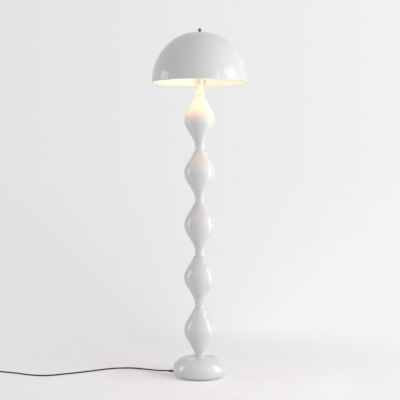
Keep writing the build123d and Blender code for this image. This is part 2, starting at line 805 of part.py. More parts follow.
quarter_turns = round(coil_sweep / (pi / 2))
coil_places = [coil_place(coil_sweep * i / quarter_turns) for i in range(quarter_turns + 1)]
plug_direction = coil_places[-1][1]
coil_end = coil_places[-1][0] + plug_direction * 2 * cord_radius
with BuildPart() as cord_coil:
    with BuildLine() as coil_path:
        Line(coil_places[0][0] - coil_places[0][1] * 2 * cord_radius, coil_places[0][0])
        for here, there in zip(coil_places, coil_places[1:]):
            biarc(*here, *there)
        Line(coil_places[-1][0], coil_end)
    with BuildSketch(Plane(origin=coil_entry, z_dir=entry_direction)):
        Circle(cord_radius)
    sweep(path=coil_path.wire())
coil_length = coil_path.wire().length
print("coil length", round(coil_length, 1), "volume over section times length",
      round(cord_coil.part.volume / (pi * cord_radius**2 * coil_length), 4))
finish(cord_coil, "cord_coil")


def least_gap(path, samples):
    """Least clear distance of a tube to itself, between places half a turn or more apart."""
    points = [path.position_at(i / samples) for i in range(samples + 1)]
    apart = round(samples * pi * (coil_outer_radius / 2) / path.length)
    return min((points[i] - points[j]).length
               for i in range(samples + 1)
               for j in range(i + apart, samples + 1)) - 2 * cord_radius


print("coil least gap to itself", round(least_gap(coil_path.wire(), coil_samples), 2))

# band round the coil where both layers lie square above each other
tie_sweep = 3 * pi / 2
tie_angle = entry_angle + tie_sweep
tie_outer = coil_outer_radius - turn_step * tie_sweep / (2 * pi)
tie_middle = tie_outer - turn_step * (coil_layer_turns - 1) / 2
tie_outward = Vector(cos(tie_angle), sin(tie_angle), 0)
tie_centre = coil_centre + tie_outward * tie_middle + Vector(0, 0, layer_step / 2)
tie_inner_width = turn_step * (coil_layer_turns - 1) + 2 * (cord_radius + tie_side_clearance)
tie_inner_height = layer_step + 2 * (cord_radius + tie_clearance)
with BuildPart() as cord_tie:
    with BuildSketch(Plane(origin=tie_centre, x_dir=tie_outward,
                           z_dir=tie_outward.cross(Vector(0, 0, 1)))):
        RectangleRounded(tie_inner_width + 2 * tie_thickness,
                         tie_inner_height + 2 * tie_thickness, cord_radius + tie_thickness)
        RectangleRounded(tie_inner_width, tie_inner_height, cord_radius, mode=Mode.SUBTRACT)
    extrude(amount=tie_width / 2, both=True)
finish(cord_tie, "cord_tie")

# ---------------------------------------------------------------- plug
plug_height = 2 * (coil_z + layer_step - cord_floor_gap)
plug_plane = Plane(origin=coil_end, x_dir=plug_direction.cross(Vector(0, 0, 1)),
                   z_dir=plug_direction)
body_plane = plug_plane.offset(plug_relief_length)
with BuildPart() as plug_body:
    with BuildSketch(plug_plane):
        Circle(plug_relief_tip_radius)
    with BuildSketch(body_plane):
        Circle(plug_relief_root_radius)
    loft()
    with BuildSketch(body_plane):
        RectangleRounded(plug_width * plug_back_scale, plug_height * plug_back_scale,
                         plug_corner_radius)
    with BuildSketch(body_plane.offset(plug_taper_length)):
        RectangleRounded(plug_width, plug_height, plug_corner_radius)
    loft()
    with BuildSketch(body_plane.offset(plug_taper_length)):
        RectangleRounded(plug_width, plug_height, plug_corner_radius)
    extrude(amount=plug_length - plug_taper_length)
    # finger grooves across both sides of the grip
    plug_groove_pitch = (plug_length - plug_taper_length) / (plug_groove_count + 1)
    with BuildSketch(Plane(origin=body_plane.offset(plug_taper_length).origin,
                           x_dir=plug_direction, z_dir=(0, 0, 1))):
        for groove in range(plug_groove_count):
            along = plug_groove_pitch * (groove + 1)
            with Locations((along, plug_width / 2), (along, -plug_width / 2)):
                Rectangle(plug_groove_width, 2 * plug_groove_depth)
    extrude(amount=plug_height / 2, both=True, mode=Mode.SUBTRACT)
finish(plug_body, "plug_body")

blade_plane = body_plane.offset(plug_length)
blades = [(-blade_spacing / 2, blade_width), (blade_spacing / 2, neutral_blade_width)]
with BuildPart() as plug_blades:
    with BuildSketch(blade_plane):
        for side, width in blades:
            with Locations((side, 0)):
                Rectangle(blade_thickness, width)
    extrude(amount=blade_length)
    hole_centre = coil_end + plug_direction * (plug_relief_length + plug_length + blade_length
                                               - blade_hole_from_tip)
    with BuildSketch(Plane(origin=hole_centre, x_dir=plug_direction, z_dir=plug_plane.x_dir)):
        Circle(blade_hole_radius)
    extrude(amount=plug_width / 2, both=True, mode=Mode.SUBTRACT)
finish(plug_blades, "plug_blades")
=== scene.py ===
# %% [markdown]
# # Dressing a mushroom floor lamp
# The lamp's hard pieces arrive as a fixed frame, in metres, with +Z up and the stem on the
# Z axis. This lesson lays the mains cord, gives every piece its finish, adds the small threads,
# beads and ribs, and puts the lit lamp in a plain pale studio. Nothing that arrives in the
# frame is moved or reshaped.

# %% Load the frame
from math import atan, cos, pi, radians, sin, tan

import bpy
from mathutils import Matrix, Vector


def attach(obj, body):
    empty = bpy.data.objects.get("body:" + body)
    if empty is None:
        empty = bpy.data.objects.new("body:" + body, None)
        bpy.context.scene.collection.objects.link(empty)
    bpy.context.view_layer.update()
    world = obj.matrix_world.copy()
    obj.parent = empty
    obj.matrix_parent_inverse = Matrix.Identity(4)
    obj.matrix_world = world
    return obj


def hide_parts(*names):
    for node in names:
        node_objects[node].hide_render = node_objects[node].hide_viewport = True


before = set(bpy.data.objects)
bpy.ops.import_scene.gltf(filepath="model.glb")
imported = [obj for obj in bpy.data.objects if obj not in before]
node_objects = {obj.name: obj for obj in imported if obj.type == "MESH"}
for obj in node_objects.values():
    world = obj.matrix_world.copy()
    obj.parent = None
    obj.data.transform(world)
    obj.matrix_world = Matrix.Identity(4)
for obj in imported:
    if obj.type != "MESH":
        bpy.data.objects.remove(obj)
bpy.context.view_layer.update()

# %% [markdown]
# ## The camera
# A product picture of something tall is taken from far away with a long lens, so that the
# uprights stay upright. The camera could be tilted to centre the lamp, but then the sides of
# the stem lean together. A level camera whose picture is shifted keeps them parallel, as a
# view camera does, and so the horizon lies above the middle of the picture.

# %% Camera
CAMERA_DISTANCE = 4.591
CAMERA_HEIGHT = 0.957
LENS_MM = 90.0
PICTURE_SHIFT = (0.00075, -0.08)


def new_object(name, data):
    """An object of the scene that holds this data."""
    added = bpy.data.objects.new(name, data)
    bpy.context.scene.collection.objects.link(added)
    return added


camera_data = bpy.data.cameras.new("camera")
camera_data.lens = LENS_MM
camera_data.shift_x, camera_data.shift_y = PICTURE_SHIFT
camera = new_object("camera", camera_data)
camera.location = (0, -CAMERA_DISTANCE, CAMERA_HEIGHT)
camera.rotation_euler = (radians(90), 0, 0)
bpy.context.scene.camera = camera
print("camera", tuple(round(v, 3) for v in camera.location))

# %% [markdown]
# ## The mains cord
# A round black PVC lead leaves the base at the back left, sinks to the floor in one gentle
# swing and runs off to the left. A mesh tube could be swept along it, but a NURBS curve needs
# only its route. The curve cuts inside the corners of the route, as a springy lead does, so a
# few given points are enough where it lies loose.

# %% Cord route
CORD_DIAMETER = 0.0065
FLOOR_GAP = 0.00005
ON_FLOOR = CORD_DIAMETER / 2 + FLOOR_GAP    # height of the cord's centre where it lies
COIL_HEIGHT = 0.00415                       # the same in the coil, which lies on its band
EXIT_RUN = 0.024                            # straight out of the strain relief
COIL_RUN = 0.040                            # straight into the coil
EXIT_HEADING, COIL_HEADING = radians(168), radians(158)


def toward(angle):
    """The level direction at this angle from the X axis."""
    return Vector((cos(angle), sin(angle), 0))


cord_exit = Vector((-0.142516, 0.030293, 0.020))
coil_entry = Vector((-0.9991, 0.1230, COIL_HEIGHT))
cord_points = [
    cord_exit,
    cord_exit + toward(EXIT_HEADING) * EXIT_RUN,
    Vector((-0.194, 0.060, 0.0154)),
    Vector((-0.228, 0.100, 0.011)),
    Vector((-0.264, 0.140, 0.0066)),
    Vector((-0.303, 0.172, 0.0036)),
    Vector((-0.342, 0.182, ON_FLOOR)),
    Vector((-0.417, 0.171, ON_FLOOR)),
    Vector((-0.489, 0.124, ON_FLOOR)),
    Vector((-0.559, 0.076, ON_FLOOR)),
    Vector((-0.628, 0.040, ON_FLOOR)),
    Vector((-0.698, 0.001, ON_FLOOR)),
    Vector((-0.773, 0.0105, ON_FLOOR)),
    Vector((-0.855, 0.063, ON_FLOOR)),
    Vector((-0.920, 0.088, ON_FLOOR)),
    coil_entry - toward(COIL_HEADING) * COIL_RUN,
    coil_entry,
]
print(len(cord_points), "points lie loose")

# %% [markdown]
# ## The spare length
# The length that the picture doesn't show is put away in a neat round coil of two layers. It
# spirals in on the floor, climbs half a turn while the spiral reverses, and comes out again on
# top. Its points could be set by hand too, but a formula keeps the turns evenly apart.

# %% Cord coil
OUTER_TURN = 0.0464         # radius of the outermost turn
TURN_STEP = 0.0071          # from one turn to the next
LAYER_STEP = 0.00705        # from the lower layer to the upper
TURNS_IN = 3
POINTS_PER_TURN = 24
# a quadratic curve cuts inside its control polygon by this much
POLYGON_SWELL = 1 / cos(pi / POINTS_PER_TURN)
LITTLE_TURN = 0.001         # of the sweep, to read the coil's last direction

spiral_rate = TURN_STEP / (2 * pi)
entry_angle = COIL_HEADING - pi / 2 - atan(spiral_rate / OUTER_TURN)
coil_start = coil_entry + toward(COIL_HEADING) * CORD_DIAMETER
coil_centre = coil_start - toward(entry_angle) * OUTER_TURN
inner_turn = OUTER_TURN - TURN_STEP * TURNS_IN
sweep_in = 2 * pi * TURNS_IN
sweep_all = 2 * sweep_in + pi


def coil_point(swept, swell=1.0):
    """In on the lower layer, up half a turn where the spiral reverses, out on the upper."""
    past = swept - sweep_in
    share = min(max(past / pi, 0), 1)
    if past <= 0:
        radius = inner_turn - spiral_rate * past
    elif past < pi:
        radius = inner_turn - spiral_rate * past * (1 - share)
    else:
        radius = inner_turn + spiral_rate * (past - pi)
    lift = LAYER_STEP * (3 * share ** 2 - 2 * share ** 3)
    reach = toward(entry_angle + swept) * radius * swell
    return coil_centre + reach + Vector((0, 0, lift))


steps = round(sweep_all / (2 * pi) * POINTS_PER_TURN)
cord_points += [coil_point((step + 0.5) * sweep_all / steps, POLYGON_SWELL)
                for step in range(steps)]
last_turn = coil_point(sweep_all)
plug_direction = (last_turn - coil_point(sweep_all - LITTLE_TURN)).normalized()
cord_points += [last_turn + plug_direction * CORD_DIAMETER * reach for reach in (0.5, 1.0)]
print(steps, "points wind the coil")

# %% [markdown]
# ## From route to tube
# A curve with a bevel is a tube of even thickness that follows every point. The thickness could
# be given by the bevel alone. The same two helpers serve the grip ribs of the switch, whose
# radius changes along their length.

# %% Cord curve
def new_tube(name, section_steps, length_steps):
    """A curve that is drawn as a tube, as thick as its points' radius says."""
    curve = bpy.data.curves.new(name, "CURVE")
    curve.dimensions = "3D"
    curve.bevel_depth = 1.0
    curve.bevel_resolution = section_steps
    curve.resolution_u = length_steps
    return curve


def add_line(curve, places, radii):
    """A smooth line on the curve that runs from its first place to its last."""
    line = curve.splines.new("NURBS")
    line.points.add(len(places) - 1)
    for point, place, radius in zip(line.points, places, radii):
        point.co = (*place, 1)
        point.radius = radius
    # set after the points are there, or the line stays straight between them
    line.order_u = 3
    line.use_endpoint_u = True
    return line


cord_curve = new_tube("mains_cord", section_steps=5, length_steps=8)
cord_curve.use_fill_caps = True
spline = add_line(cord_curve, cord_points, [CORD_DIAMETER / 2] * len(cord_points))
mains_cord = new_object("mains_cord", cord_curve)
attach(mains_cord, "stand")
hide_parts("cord", "cord_coil")
print("cord length", round(spline.calc_length(), 3))

# %% [markdown]
# ## Colours
# Colours are written as sRGB hex, the way a screen's colour picker gives them. The shaders
# calculate with linear light, in which a middle grey is much lower than a half. Each value
# could be converted by hand, but one function keeps the familiar code readable.

# %% Colour
def linear(code):
    """Linear RGBA of an sRGB hex colour."""
    shares = [int(code[i:i + 2], 16) / 255 for i in (1, 3, 5)]
    return [s / 12.92 if s <= 0.04045 else ((s + 0.055) / 1.055) ** 2.4 for s in shares] + [1]


print("mid grey #808080 is", round(linear("#808080")[0], 3), "in linear light")

# %% [markdown]
# ## Finishes as small trees
# Every finish is a tree of shader nodes that ends in one Principled shader. Trees can be wired
# by hand in the shader editor. In a script, one function that adds a node with its settings
# and links lets a whole tree be read from top to bottom.

# %% Node helpers
def add_node(tree, kind, sockets=None, **settings):
    """Adds one node; a socket takes a value or another node's output."""
    added = tree.nodes.new("ShaderNode" + kind)
    for name, value in settings.items():
        setattr(added, name, value)
    for name, value in (sockets or {}).items():
        if isinstance(value, bpy.types.NodeSocket):
            tree.links.new(value, added.inputs[name])
        else:
            added.inputs[name].default_value = value
    return added


def new_finish(name, sockets):
    """A material with one Principled shader; returns it with its tree and shader."""
    finish = bpy.data.materials.new(name)
    finish.use_nodes = True
    shader = finish.node_tree.nodes["Principled BSDF"]
    for socket, value in sockets.items():
        shader.inputs[socket].default_value = value
    return finish, finish.node_tree, shader


def dress(finish, *names):
    """Gives pieces of the frame a finish."""
    for name in names:
        for slot in node_objects[name].material_slots:
            slot.material = finish
    print(finish.name, "on", len(names), "pieces")


print("materials before any is made here:", len(bpy.data.materials))

# %% [markdown]
# ## Patterns in real sizes
# A pattern could be laid over a surface through an unwrapping, but turned and spun pieces would
# show its seam. Here every pattern is placed in the lamp's own coordinates, in metres, so its
# size follows from a real size in millimetres, and it rides with its piece.

# %% Pattern scale
def lamp_coordinates(tree):
    """Places on the lamp in metres, which ride with the piece."""
    return add_node(tree, "TexCoord").outputs["Object"]


def per_metre(millimetres):
    """Scale of a pattern whose repeat has this size."""
    return 1000 / millimetres


print("a repeat of 5 mm comes", round(per_metre(5.0)), "times in a metre")

# %% [markdown]
# ## Sprayed and baked gloss enamel
# The shade, the base cover and the two collars are steel, sprayed with white enamel and baked.
# The film levels out into a faint orange peel, seen only where a lamp or window mirrors in it.
# A clear coat over a base would also do, but solid enamel is a single pigmented film with
# the refractive index of a resin, so one dielectric surface of low roughness is enough.

# %% Enamel
ENAMEL_IOR = 1.52
ENAMEL_GLOSS_SPREAD = (0.8, 1.25)       # parts of the roughness, from place to place
PEEL_MM = 9.0           # a real peel is 2 to 4 mm across, too fine to show at this size
PEEL_DEPTH = 0.00003
MOTTLE_MM = 120.0       # slow change of tone, as the film's thickness varies


def enamel(name, colour, second_colour, roughness):
    """Opaque and glossy: clean edges on what it mirrors, with an even white below."""
    finish, tree, shader = new_finish(name, {"IOR": ENAMEL_IOR})
    places = lamp_coordinates(tree)
    peel = add_node(tree, "TexNoise", {"Vector": places, "Detail": 1.0,
                                       "Scale": per_metre(PEEL_MM)})
    bump = add_node(tree, "Bump", {"Height": peel.outputs["Fac"], "Distance": PEEL_DEPTH})
    mottle = add_node(tree, "TexNoise", {"Vector": places, "Scale": per_metre(MOTTLE_MM)})
    tone = add_node(tree, "MixRGB", {"Fac": mottle.outputs["Fac"], "Color1": linear(colour),
                                     "Color2": linear(second_colour)})
    low, high = ENAMEL_GLOSS_SPREAD
    gloss = add_node(tree, "MapRange", {"Value": mottle.outputs["Fac"],
                                        "To Min": roughness * low, "To Max": roughness * high})
    tree.links.new(tone.outputs["Color"], shader.inputs["Base Color"])
    tree.links.new(gloss.outputs["Result"], shader.inputs["Roughness"])
    tree.links.new(bump.outputs["Normal"], shader.inputs["Normal"])
    return finish


dress(enamel("enamel_baked_gloss_white", "#E8E8E8", "#E4E4E5", roughness=0.07),
      "shade_dome", "base_shell", "foot_collar", "neck_collar")

# %% [markdown]
# ## Lacquered turnings
# The five waves of the stem are turned hardwood under white lacquer. Filler hides the grain,
# but the lathe leaves shallow rings that the lacquer only softens. Rings could be cut into the
# mesh, but at a few hundredths of a millimetre a bump that depends on radius and height alone
# is enough. The same ring coordinates serve every turned or spun piece further on.

# %% Lacquer
LACQUER_IOR = 1.50
TURNING_MM = 5.0        # tool marks are near 1 mm apart, drawn coarser so that they show
TURNING_DEPTH = 0.00002


def ring_coordinates(tree):
    """Radius and height on the lamp in metres, so that a pattern runs in rings."""
    places = lamp_coordinates(tree)
    flat = add_node(tree, "VectorMath", {0: places, 1: (1, 1, 0)}, operation="MULTIPLY")
    radius = add_node(tree, "VectorMath", {0: flat.outputs["Vector"]}, operation="LENGTH")
    height = add_node(tree, "SeparateXYZ", {"Vector": places})
    return add_node(tree, "CombineXYZ", {"X": radius.outputs["Value"],
                                         "Z": height.outputs["Z"]}).outputs["Vector"]


def lacquer(name, colour, second_colour, roughness):
    """Glossy like the enamel, but its mirror images waver a little from ring to ring."""
    finish, tree, shader = new_finish(name, {"IOR": LACQUER_IOR, "Roughness": roughness})
    rings = add_node(tree, "TexNoise", {"Vector": ring_coordinates(tree), "Detail": 2.0,
                                        "Scale": per_metre(TURNING_MM)})
    turned = add_node(tree, "Bump", {"Height": rings.outputs["Fac"], "Distance": TURNING_DEPTH})
    places = lamp_coordinates(tree)
    peel = add_node(tree, "TexNoise", {"Vector": places, "Detail": 1.0,
                                       "Scale": per_metre(PEEL_MM)})
    bump = add_node(tree, "Bump", {"Height": peel.outputs["Fac"], "Distance": PEEL_DEPTH,
                                   "Normal": turned.outputs["Normal"]})
    mottle = add_node(tree, "TexNoise", {"Vector": places, "Scale": per_metre(MOTTLE_MM)})
    tone = add_node(tree, "MixRGB", {"Fac": mottle.outputs["Fac"], "Color1": linear(colour),
                                     "Color2": linear(second_colour)})
    tree.links.new(tone.outputs["Color"], shader.inputs["Base Color"])
    tree.links.new(bump.outputs["Normal"], shader.inputs["Normal"])
    return finish


dress(lacquer("lacquer_gloss_white_on_beech", "#E8E8E8", "#E4E4E5", roughness=0.08),
      *[f"stem_segment_{n}" for n in range(1, 6)])

# %% [markdown]
# ## Spun and drawn metals
# The lampholder's cap and shell are spun from sheet, the harp is drawn wire and the finial is
# turned, so their fine lines run round the axis. An anisotropic shader needs tangents, which
# these meshes lack. Rings of slightly different roughness and height give the same streak of
# light. Each metal keeps the default index and takes its tint from its colour alone.

# %% Ringed metals
RING_MM = 1.2           # real marks are a few hundredths of a millimetre apart
RING_DEPTH = 0.00001
RING_GLOSS_SPREAD = (0.7, 1.3)
BLOOM_MM = 14.0         # patches of slight tarnish


def ringed_metal(name, colour, tarnish, roughness):
    """Bright metal whose highlight is drawn out across its fine rings."""
    finish, tree, shader = new_finish(name, {"Metallic": 1.0})
    rings = add_node(tree, "TexNoise", {"Vector": ring_coordinates(tree), "Detail": 3.0,
                                        "Scale": per_metre(RING_MM)})
    bump = add_node(tree, "Bump", {"Height": rings.outputs["Fac"], "Distance": RING_DEPTH})
    low, high = RING_GLOSS_SPREAD
    gloss = add_node(tree, "MapRange", {"Value": rings.outputs["Fac"],
                                        "To Min": roughness * low, "To Max": roughness * high})
    bloom = add_node(tree, "TexNoise", {"Vector": lamp_coordinates(tree),
                                        "Scale": per_metre(BLOOM_MM)})
    tone = add_node(tree, "MixRGB", {"Fac": bloom.outputs["Fac"], "Color1": linear(colour),
                                     "Color2": linear(tarnish)})
    tree.links.new(tone.outputs["Color"], shader.inputs["Base Color"])
    tree.links.new(gloss.outputs["Result"], shader.inputs["Roughness"])
    tree.links.new(bump.outputs["Normal"], shader.inputs["Normal"])
    return finish


print("rings", RING_MM, "mm apart")

# %% [markdown]
# ## Which metal goes where
# Nickel plate is pale and slightly warm, and looks soft on spun sheet and brighter on wire.
# Pressed brass shows deep in the lampholder as a yellow glint. The cap of a bulb is plated
# thinly and looks cooler. One colour could do for all of them, but side by side under a shade
# the small differences are what tells the pieces apart.

# %% Metal finishes
# blurs the bulb's light into a broad pale sheen
dress(ringed_metal("nickel_plate_on_spun_steel", "#F0ECE2", "#E2DDD1", roughness=0.45),
      "socket_cap", "socket_shell")
# a narrower streak of light along the wire
dress(ringed_metal("nickel_plate_on_drawn_wire", "#EAE6DC", "#DAD5CA", roughness=0.35),
      "harp_saddle", "harp_ferrules", "harp_wire", "harp_stud")
# warm yellow where it isn't plated
dress(ringed_metal("brass_pressed", "#D9B56A", "#B8904E", roughness=0.3),
      "screw_shell", "centre_contact", "switch_spindle")
# a cooler grey that glitters on the thread
dress(ringed_metal("nickel_plate_on_brass_cap", "#CBC9C4", "#B4B2AC", roughness=0.28),
      "bulb_cap", "bulb_contact")
# a thin grey line on the white crown
dress(ringed_metal("steel_washer_brushed", "#B9B9B8", "#A3A3A3", roughness=0.35),
      "shade_washer")
# a dark ball with one soft highlight
dress(ringed_metal("steel_gunmetal_satin", "#7E7E80", "#6A6A6C", roughness=0.42), "finial")
# the brass below gives the thin plate a yellow cast
dress(ringed_metal("nickel_wash_on_brass_blades", "#D0C7A8", "#BBAF8B", roughness=0.25),
      "plug_blades")

# %% [markdown]
# ## Zinc plate under the base
# The bottom plate, its screws, the pipe and what clamps it are zinc plated: pale grey, with a
# faint crystalline spangle. Noise would blur the spangle, but a cell pattern has the flat
# patches with straight borders that crystals have, each with its own tone and gloss.

# %% Zinc
SPANGLE_MM = 6.0
ZINC_ROUGHNESS = (0.32, 0.48)


def zinc_plate():
    """Pale metal with patches that light up in turn as the eye moves."""
    finish, tree, shader = new_finish("zinc_plate_on_steel", {"Metallic": 1.0})
    crystals = add_node(tree, "TexVoronoi", {"Vector": lamp_coordinates(tree),
                                             "Scale": per_metre(SPANGLE_MM)})
    grey = add_node(tree, "SeparateXYZ", {"Vector": crystals.outputs["Color"]})
    tone = add_node(tree, "MixRGB", {"Fac": grey.outputs["X"], "Color1": linear("#C4C6C8"),
                                     "Color2": linear("#B2B5B9")})
    low, high = ZINC_ROUGHNESS
    gloss = add_node(tree, "MapRange", {"Value": grey.outputs["Y"], "To Min": low,
                                        "To Max": high})
    tree.links.new(tone.outputs["Color"], shader.inputs["Base Color"])
    tree.links.new(gloss.outputs["Result"], shader.inputs["Roughness"])
    return finish


dress(zinc_plate(), "bottom_plate", "plate_screws", "base_hub", "pipe_washer", "pipe_nut",
      "stem_pipe")

# %% [markdown]
# ## Cast iron
# The weight in the base is raw grey iron with the pimpled skin of its sand mould. It could be
# left plain, since the cover hides it, but it shows when a piece is taken off. One noise gives
# both the grains' height and a darker tone where the skin is low.

# %% Iron
SAND_MM = 1.6
SAND_DEPTH = 0.0002


def cast_iron():
    """Dark, rough and dull metal, broken up by the sand's grains."""
    finish, tree, shader = new_finish("iron_grey_sand_cast", {"Metallic": 1.0, "Roughness": 0.7})
    sand = add_node(tree, "TexNoise", {"Vector": lamp_coordinates(tree), "Detail": 4.0,
                                       "Scale": per_metre(SAND_MM)})
    bump = add_node(tree, "Bump", {"Height": sand.outputs["Fac"], "Distance": SAND_DEPTH})
    # darker where the sand noise is low, so the tone follows the bump's hollows
    tone = add_node(tree, "MixRGB", {"Fac": sand.outputs["Fac"], "Color1": linear("#56565A"),
                                     "Color2": linear("#74706C")})
    tree.links.new(tone.outputs["Color"], shader.inputs["Base Color"])
    tree.links.new(bump.outputs["Normal"], shader.inputs["Normal"])
    return finish


dress(cast_iron(), "base_weight")

# %% [markdown]
# ## Felt foot
# A disc of pressed wool felt keeps the base off the floor. Felt scatters light among its
# fibres, so it is dark and matt, with a pale bloom at its edge, which sheen gives. Single
# hairs would be far too many. Two noises, each pulled long in its own direction and
# multiplied, look like fibres that cross.

# %% Felt
FIBRE_MM = 4.5          # length of a fibre's visible part
FIBRE_PULL = 5          # how many times longer than thick
FIBRE_DEPTH = 0.0004


def felt():
    """Matt and dark, with a soft pale edge."""
    finish, tree, shader = new_finish("wool_felt_pressed", {"Roughness": 0.95, "IOR": 1.5,
                                                            "Sheen Weight": 0.4,
                                                            "Sheen Roughness": 0.5})
    places = lamp_coordinates(tree)
    layers = []
    for pull in ((1, FIBRE_PULL, 1), (FIBRE_PULL, 1, 1)):
        pulled = add_node(tree, "VectorMath", {0: places, 1: pull}, operation="MULTIPLY")
        layers.append(add_node(tree, "TexNoise", {"Vector": pulled.outputs["Vector"],
                                                  "Scale": per_metre(FIBRE_MM),
                                                  "Detail": 3.0}).outputs["Fac"])
    matted = add_node(tree, "Math", {0: layers[0], 1: layers[1]}, operation="MULTIPLY")
    tone = add_node(tree, "MixRGB", {"Fac": matted.outputs["Value"],
                                     "Color1": linear("#3A3A3B"), "Color2": linear("#6A6A6B")})
    bump = add_node(tree, "Bump", {"Height": matted.outputs["Value"], "Distance": FIBRE_DEPTH})
    tree.links.new(tone.outputs["Color"], shader.inputs["Base Color"])
    tree.links.new(bump.outputs["Normal"], shader.inputs["Normal"])
    return finish


dress(felt(), "base_pad")

# %% [markdown]
# ## Moulded and pressed pieces
# PVC, phenolic, porcelain, fused glass, fibre board and woven nylon look very different, yet
# the eye tells them apart by the same few things: colour, gloss, and the size and depth of
# their grain. Each could have its own tree, but one recipe with these values covers them all.

# %% Moulded recipe
GRAIN_GLOSS_SPREAD = (0.8, 1.2)


def moulded(name, colour, second_colour, roughness, grain_mm, depth, ior=1.5):
    """An opaque surface with an even grain that changes its tone, gloss and height."""
    finish, tree, shader = new_finish(name, {"IOR": ior})
    grain = add_node(tree, "TexNoise", {"Vector": lamp_coordinates(tree), "Detail": 3.0,
                                        "Scale": per_metre(grain_mm)})
    bump = add_node(tree, "Bump", {"Height": grain.outputs["Fac"], "Distance": depth})
    tone = add_node(tree, "MixRGB", {"Fac": grain.outputs["Fac"], "Color1": linear(colour),
                                     "Color2": linear(second_colour)})
    low, high = GRAIN_GLOSS_SPREAD
    gloss = add_node(tree, "MapRange", {"Value": grain.outputs["Fac"],
                                        "To Min": roughness * low, "To Max": roughness * high})
    tree.links.new(tone.outputs["Color"], shader.inputs["Base Color"])
    tree.links.new(gloss.outputs["Result"], shader.inputs["Roughness"])
    tree.links.new(bump.outputs["Normal"], shader.inputs["Normal"])
    return finish


print("grain changes the roughness by", GRAIN_GLOSS_SPREAD)

# %% [markdown]
# ## Black PVC and the lampholder's inside
# The lead, its strain relief and the plug are soft PVC, extruded or moulded. The turn switch is
# hard phenolic, the holder's core is glazed porcelain in a sleeve of brown fibre board, and
# black glass holds the bulb's contact. Pure black and white could be used, but no real surface
# is that dark or that pale, and its form would be lost.

# %% Moulded finishes
# black with a long dull highlight, as it comes off the extruder
pvc = moulded("pvc_black_extruded", "#0B0B0C", "#151516", roughness=0.42, grain_mm=2.0,
              depth=0.00003)
mains_cord.data.materials.append(pvc)
dress(pvc, "riser_cord")
# a little greyer and duller, with the finer grain of a spark-eroded mould
dress(moulded("pvc_black_moulded", "#0E0E0F", "#19191A", roughness=0.5, grain_mm=1.2,
              depth=0.00004), "strain_relief", "plug_body")
# a harder, sharper shine on a brownish black
dress(moulded("phenolic_black_moulded", "#141313", "#1E1C1B", roughness=0.34, grain_mm=0.8,
              depth=0.00001, ior=1.55), "switch_knob")
# clear glints, as glass that ran and set
dress(moulded("glass_black_fused", "#0C0C10", "#141418", roughness=0.12, grain_mm=3.0,
              depth=0.00001, ior=1.6), "bulb_insulator")
# warm white under a wet-looking glaze
dress(moulded("porcelain_glazed", "#E6E2D8", "#DAD5C9", roughness=0.15, grain_mm=8.0,
              depth=0.00002, ior=1.55), "socket_core")
# dry brown without a highlight
dress(moulded("fibre_board_pressed", "#7B5F45", "#5E4633", roughness=0.8, grain_mm=0.7,
              depth=0.00008), "socket_sleeve")
# charcoal, broken up by its coarse threads
dress(moulded("nylon_band_woven", "#1B1B1D", "#303032", roughness=0.7, grain_mm=0.9,
              depth=0.00015), "cord_tie")

# %% [markdown]
# ## Frosted bulb, lit
# The bulb's glass is etched inside, so it glows evenly instead of showing a filament. A point
# lamp inside clear glass would need long light paths. A glowing surface sends the same soft
# warm light up into the shade and down the first wave.

# %% Bulb glass
BULB_GLOW = 21.0
BULB_COLOUR = "#FFE9BA"
GLOW_SPREAD = (0.9, 1.1)
FROST_MM = 1.5          # the etching is far finer, drawn coarser so that it shows
FROST_DEPTH = 0.00003


def frosted_glass():
    """Etched glass: a fine frost on the surface and a slightly uneven glow."""
    finish, tree, shader = new_finish("glass_soda_lime_etched", {
        "Base Color": linear("#F4F1EA"), "Roughness": 0.5, "IOR": 1.52,
        "Emission Color": linear(BULB_COLOUR)})
    frost = add_node(tree, "TexNoise", {"Vector": lamp_coordinates(tree), "Detail": 4.0,
                                        "Scale": per_metre(FROST_MM)})
    bump = add_node(tree, "Bump", {"Height": frost.outputs["Fac"], "Distance": FROST_DEPTH})
    low, high = GLOW_SPREAD
    glow = add_node(tree, "MapRange", {"Value": frost.outputs["Fac"],
                                       "To Min": BULB_GLOW * low, "To Max": BULB_GLOW * high})
    tree.links.new(glow.outputs["Result"], shader.inputs["Emission Strength"])
    tree.links.new(bump.outputs["Normal"], shader.inputs["Normal"])
    return finish


dress(frosted_glass(), "bulb_glass")

# %% [markdown]
# ## How the small pieces are made
# Threads, beads, ribs and a screw are too fine for the frame. Each could be modelled by hand,
# but from the frame's own heights a mesh in code sits exactly on its neighbour. It takes that
# neighbour's finish and rides on the same body.

# %% Piece helpers
SHARP_EDGE = radians(40)


def like(name):
    """The finish of a piece of the frame."""
    return node_objects[name].material_slots[0].material


def lowest_highest(name):
    """Heights of a piece's lowest and highest point."""
    heights = [(node_objects[name].matrix_world @ Vector(corner)).z
               for corner in node_objects[name].bound_box]
    return min(heights), max(heights)


def new_piece(name, vertices, faces, finish, body, slot):
    """A mesh in the scene, smooth but for its sharp edges, that rides on a body."""
    mesh = bpy.data.meshes.new(name)
    mesh.from_pydata(vertices, [], faces)
    mesh.polygons.foreach_set("use_smooth", [True] * len(mesh.polygons))
    mesh.set_sharp_from_angle(angle=SHARP_EDGE)
    mesh.materials.append(finish)
    piece = new_object(name, mesh)
    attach(piece, body)
    print(name, len(vertices), "points")
    return piece


print("the harp's stud, foot and tip:", *[round(z, 4) for z in lowest_highest("harp_stud")])

# %% [markdown]
# ## Ring stacks
# A thread is a ring whose radius swells and shrinks once per turn and climbs with the height. A
# screw modifier could sweep one tooth, but then its ends stay open. A stack of rings round the
# stem's axis also closes neatly where the thread runs out.

